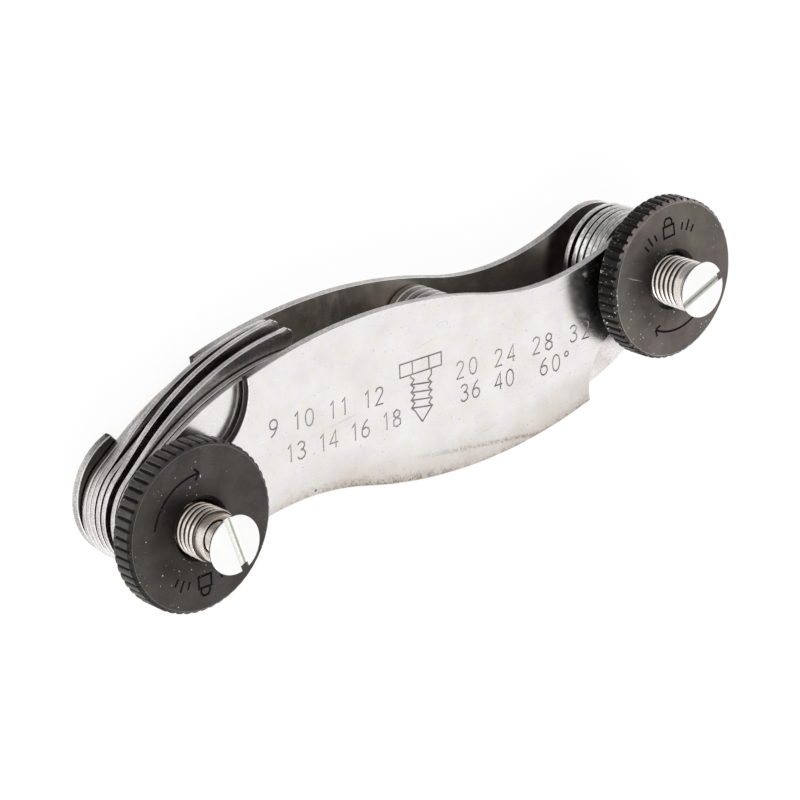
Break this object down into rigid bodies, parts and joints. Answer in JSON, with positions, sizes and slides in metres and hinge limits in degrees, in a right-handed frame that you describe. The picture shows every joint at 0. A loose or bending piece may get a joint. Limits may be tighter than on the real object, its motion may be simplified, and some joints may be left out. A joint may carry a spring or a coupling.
{
  "type": "thread pitch gauge",
  "caption": "Folding thread pitch gauge: two S-shaped steel plates hold a fan of toothed leaves at each end, locked by knurled nuts on slotted-end studs.",
  "frame": {"origin": "centre of the back plate's outer face, midway between the two studs", "axes": "+X from the left stud to the right stud, +Z along the studs from the back plate to the screw heads"},
  "size_m": [0.0874, 0.0274, 0.0187],
  "materials": {
    "plate_steel": "satin nickelled sheet steel, faintly scratched",
    "leaf_steel": "grey sheet steel with bright worn edges",
    "washer_steel": "plain turned steel",
    "nickel": "bright nickel plate",
    "black_oxide": "blackened steel, dark charcoal with a low gloss",
    "chrome": "polished"
  },
  "bodies": {
    "case": {"back_plate": "plate_steel", "front_plate": "plate_steel", "left_stud": "nickel", "right_stud": "nickel", "left_retaining_screw": "chrome", "right_retaining_screw": "chrome", "left_rivet": "washer_steel", "right_rivet": "washer_steel", "left_washer_1": "washer_steel", "left_washer_2": "washer_steel", "left_washer_3": "washer_steel", "left_washer_4": "washer_steel", "left_washer_5": "washer_steel", "left_washer_6": "washer_steel", "left_washer_7": "washer_steel", "right_washer_1": "washer_steel", "right_washer_2": "washer_steel", "right_washer_3": "washer_steel", "right_washer_4": "washer_steel", "right_washer_5": "washer_steel", "right_washer_6": "washer_steel", "right_washer_7": "washer_steel"},
    "left_nut": {"left_lock_nut": "black_oxide"},
    "right_nut": {"right_lock_nut": "black_oxide"},
    "left_blade_1": {"left_leaf_1": "leaf_steel"},
    "left_blade_2": {"left_leaf_2": "leaf_steel"},
    "left_blade_3": {"left_leaf_3": "leaf_steel"},
    "left_blade_4": {"left_leaf_4": "leaf_steel"},
    "left_blade_5": {"left_leaf_5": "leaf_steel"},
    "left_blade_6": {"left_leaf_6": "leaf_steel"},
    "left_blade_7": {"left_leaf_7": "leaf_steel"},
    "left_blade_8": {"left_leaf_8": "leaf_steel"},
    "right_blade_1": {"right_leaf_1": "leaf_steel"},
    "right_blade_2": {"right_leaf_2": "leaf_steel"},
    "right_blade_3": {"right_leaf_3": "leaf_steel"},
    "right_blade_4": {"right_leaf_4": "leaf_steel"},
    "right_blade_5": {"right_leaf_5": "leaf_steel"},
    "right_blade_6": {"right_leaf_6": "leaf_steel"}
  },
  "joints": [
    {"name": "left_leaf_1_swing", "type": "hinge", "parent": "case", "child": "left_blade_1", "pos_m": [-0.03437, 0, 0], "axis": [0, 0, 1], "range_deg": [-2, 190]},
    {"name": "left_leaf_2_swing", "type": "hinge", "parent": "case", "child": "left_blade_2", "pos_m": [-0.03437, 0, 0], "axis": [0, 0, 1], "range_deg": [-3.5, 190]},
    {"name": "left_leaf_3_swing", "type": "hinge", "parent": "case", "child": "left_blade_3", "pos_m": [-0.03437, 0, 0], "axis": [0, 0, 1], "range_deg": [-8.3, 190]},
    {"name": "left_leaf_4_swing", "type": "hinge", "parent": "case", "child": "left_blade_4", "pos_m": [-0.03437, 0, 0], "axis": [0, 0, 1], "range_deg": [-0.6, 190]},
    {"name": "left_leaf_5_swing", "type": "hinge", "parent": "case", "child": "left_blade_5", "pos_m": [-0.03437, 0, 0], "axis": [0, 0, 1], "range_deg": [-10.2, 190]},
    {"name": "left_leaf_6_swing", "type": "hinge", "parent": "case", "child": "left_blade_6", "pos_m": [-0.03437, 0, 0], "axis": [0, 0, 1], "range_deg": [-8, 190]},
    {"name": "left_leaf_7_swing", "type": "hinge", "parent": "case", "child": "left_blade_7", "pos_m": [-0.03437, 0, 0], "axis": [0, 0, 1], "range_deg": [-1.6, 190]},
    {"name": "left_leaf_8_swing", "type": "hinge", "parent": "case", "child": "left_blade_8", "pos_m": [-0.03437, 0, 0], "axis": [0, 0, 1], "range_deg": [-1.3, 190]},
    {"name": "right_leaf_1_swing", "type": "hinge", "parent": "case", "child": "right_blade_1", "pos_m": [0.03437, 0, 0], "axis": [0, 0, 1], "range_deg": [-1.5, 190]},
    {"name": "right_leaf_2_swing", "type": "hinge", "parent": "case", "child": "right_blade_2", "pos_m": [0.03437, 0, 0], "axis": [0, 0, 1], "range_deg": [-8.6, 190]},
    {"name": "right_leaf_3_swing", "type": "hinge", "parent": "case", "child": "right_blade_3", "pos_m": [0.03437, 0, 0], "axis": [0, 0, 1], "range_deg": [-10.2, 190]},
    {"name": "right_leaf_4_swing", "type": "hinge", "parent": "case", "child": "right_blade_4", "pos_m": [0.03437, 0, 0], "axis": [0, 0, 1], "range_deg": [-6.4, 190]},
    {"name": "right_leaf_5_swing", "type": "hinge", "parent": "case", "child": "right_blade_5", "pos_m": [0.03437, 0, 0], "axis": [0, 0, 1], "range_deg": [-2.8, 190]},
    {"name": "right_leaf_6_swing", "type": "hinge", "parent": "case", "child": "right_blade_6", "pos_m": [0.03437, 0, 0], "axis": [0, 0, 1], "range_deg": [-1.4, 190]},
    {"name": "left_nut_turn", "type": "hinge", "parent": "case", "child": "left_nut", "pos_m": [-0.03437, 0, 0], "axis": [0, 0, 1], "range_deg": [0, 2520]},
    {"name": "right_nut_turn", "type": "hinge", "parent": "case", "child": "right_nut", "pos_m": [0.03437, 0, 0], "axis": [0, 0, 1], "range_deg": [-540, 1980]}
  ]
}
